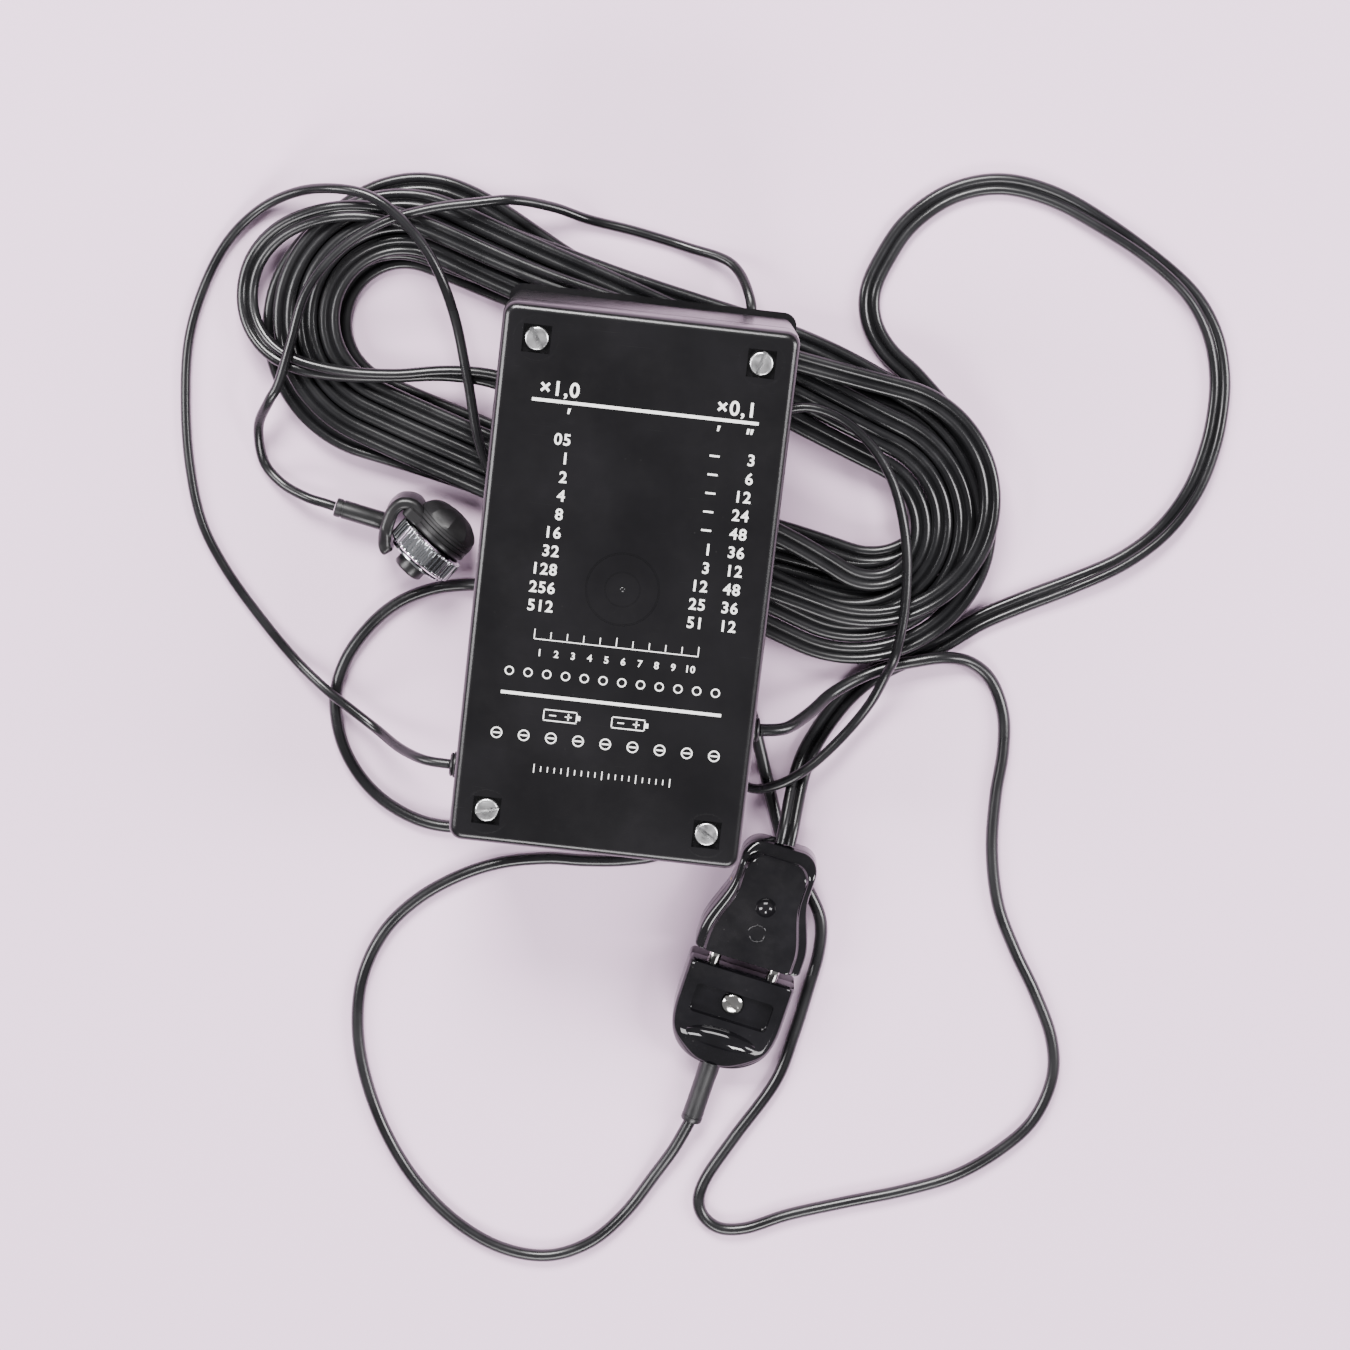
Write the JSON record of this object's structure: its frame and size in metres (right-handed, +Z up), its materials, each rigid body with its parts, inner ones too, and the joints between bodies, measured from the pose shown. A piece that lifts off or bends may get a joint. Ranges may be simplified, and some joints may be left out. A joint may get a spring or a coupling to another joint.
{
  "type": "interval timer with cords",
  "caption": "Flat black box interval timer lying base up, with a release cord and knurled plug, a two-pin plug and coupling, and a long twin lead in a hank.",
  "frame": {"origin": "centre of the case and its selector knob on the surface they lie on", "axes": "+Z up through the upturned base face, +Y along the case away from the selector, +X across the case"},
  "size_m": [0.3174, 0.3563, 0.071],
  "materials": {
    "case_black": "satin black moulded ABS",
    "cover_black": "satin black moulded ABS with white print",
    "zinc": "zinc plated",
    "brass": "plain brass",
    "panel_aluminium": "brushed anodised",
    "knob_black": "satin",
    "cap_silver": "spun aluminium",
    "shaft_steel": "ground steel",
    "housing_brown": "phenolic",
    "slider_red": "moulded",
    "slider_white": "moulded",
    "switch_steel": "pressed steel",
    "lamp_red": "clear red",
    "board_green": "solder mask",
    "relay_blue": "moulded",
    "chip_black": "epoxy",
    "capacitor_blue": "sleeved can",
    "resistor_tan": "lacquered",
    "trimmer_blue": "moulded",
    "battery_red": "painted steel can",
    "snap_black": "vinyl",
    "foam_grey": "foam",
    "boot_black": "satin PVC",
    "cord_black": "satin PVC",
    "twin_black": "satin PVC",
    "head_black": "satin moulded",
    "ring_chrome": "chrome plated knurl",
    "plug_black": "polished moulded",
    "pin_nickel": "nickel plated",
    "jack_black": "moulded"
  },
  "bodies": {
    "case": {"case_body": "case_black", "base_cover": "cover_black", "base_screws": "zinc", "case_inserts": "brass", "control_panel": "panel_aluminium", "selector_bushing": "brass", "selector_nut": "zinc", "selector_housing": "housing_brown", "switch_housings": "switch_steel", "button_bushing": "zinc", "button_spring": "shaft_steel", "led_lens": "lamp_red", "led_bezel": "zinc", "circuit_board": "board_green", "board_screws": "zinc", "relay": "relay_blue", "timer_chip": "chip_black", "capacitors": "capacitor_blue", "resistors": "resistor_tan", "trimmer": "trimmer_blue", "battery": "battery_red", "battery_snap": "snap_black", "battery_pad": "foam_grey", "release_grommet": "boot_black", "plug_grommet": "boot_black", "release_cord": "cord_black", "release_sleeve": "boot_black", "head_body": "head_black", "head_cap": "head_black", "head_insert": "head_black", "head_contacts": "brass", "ring_washer": "ring_chrome", "plug_cord": "cord_black", "plug_sleeve": "boot_black", "plug_cover": "plug_black", "plug_base": "plug_black", "plug_screw": "zinc", "plug_nut": "zinc", "plug_pins": "pin_nickel", "coupling_cover": "plug_black", "coupling_base": "plug_black", "coupling_sockets": "brass", "coupling_screw": "zinc", "twin_lead": "twin_black", "twin_hank": "twin_black", "twin_tail": "twin_black", "jack_boot": "boot_black", "jack_barrel": "jack_black", "jack_tip": "pin_nickel"},
    "selector": {"selector_knob": "knob_black", "knob_cap": "cap_silver", "knob_bush": "brass", "selector_shaft": "shaft_steel", "selector_rotor": "brass"},
    "range_switch": {"range_slider": "slider_red"},
    "power_switch": {"power_slider": "slider_white"},
    "start": {"start_button": "slider_red"},
    "ring": {"lock_ring": "ring_chrome"}
  },
  "joints": [
    {"name": "selector_turn", "type": "hinge", "parent": "case", "child": "selector", "pos_m": [0, -0.045, 0], "axis": [0, 0, 1], "range_deg": [0, 270]},
    {"name": "range_slide", "type": "slide", "parent": "case", "child": "range_switch", "axis": [1, 0, 0], "range_m": [0, 0.004]},
    {"name": "power_slide", "type": "slide", "parent": "case", "child": "power_switch", "axis": [1, 0, 0], "range_m": [0, 0.004]},
    {"name": "start_press", "type": "slide", "parent": "case", "child": "start", "axis": [0, 0, 1], "range_m": [0, 0.0025], "stiffness_N_per_m": 300, "springref_m": -0.001, "deforming": ["button_spring"]},
    {"name": "ring_turn", "type": "hinge", "parent": "case", "child": "ring", "pos_m": [-0.0605, -0.005, 0.0114], "axis": [0.5878, 0.809, 0], "continuous": true}
  ]
}
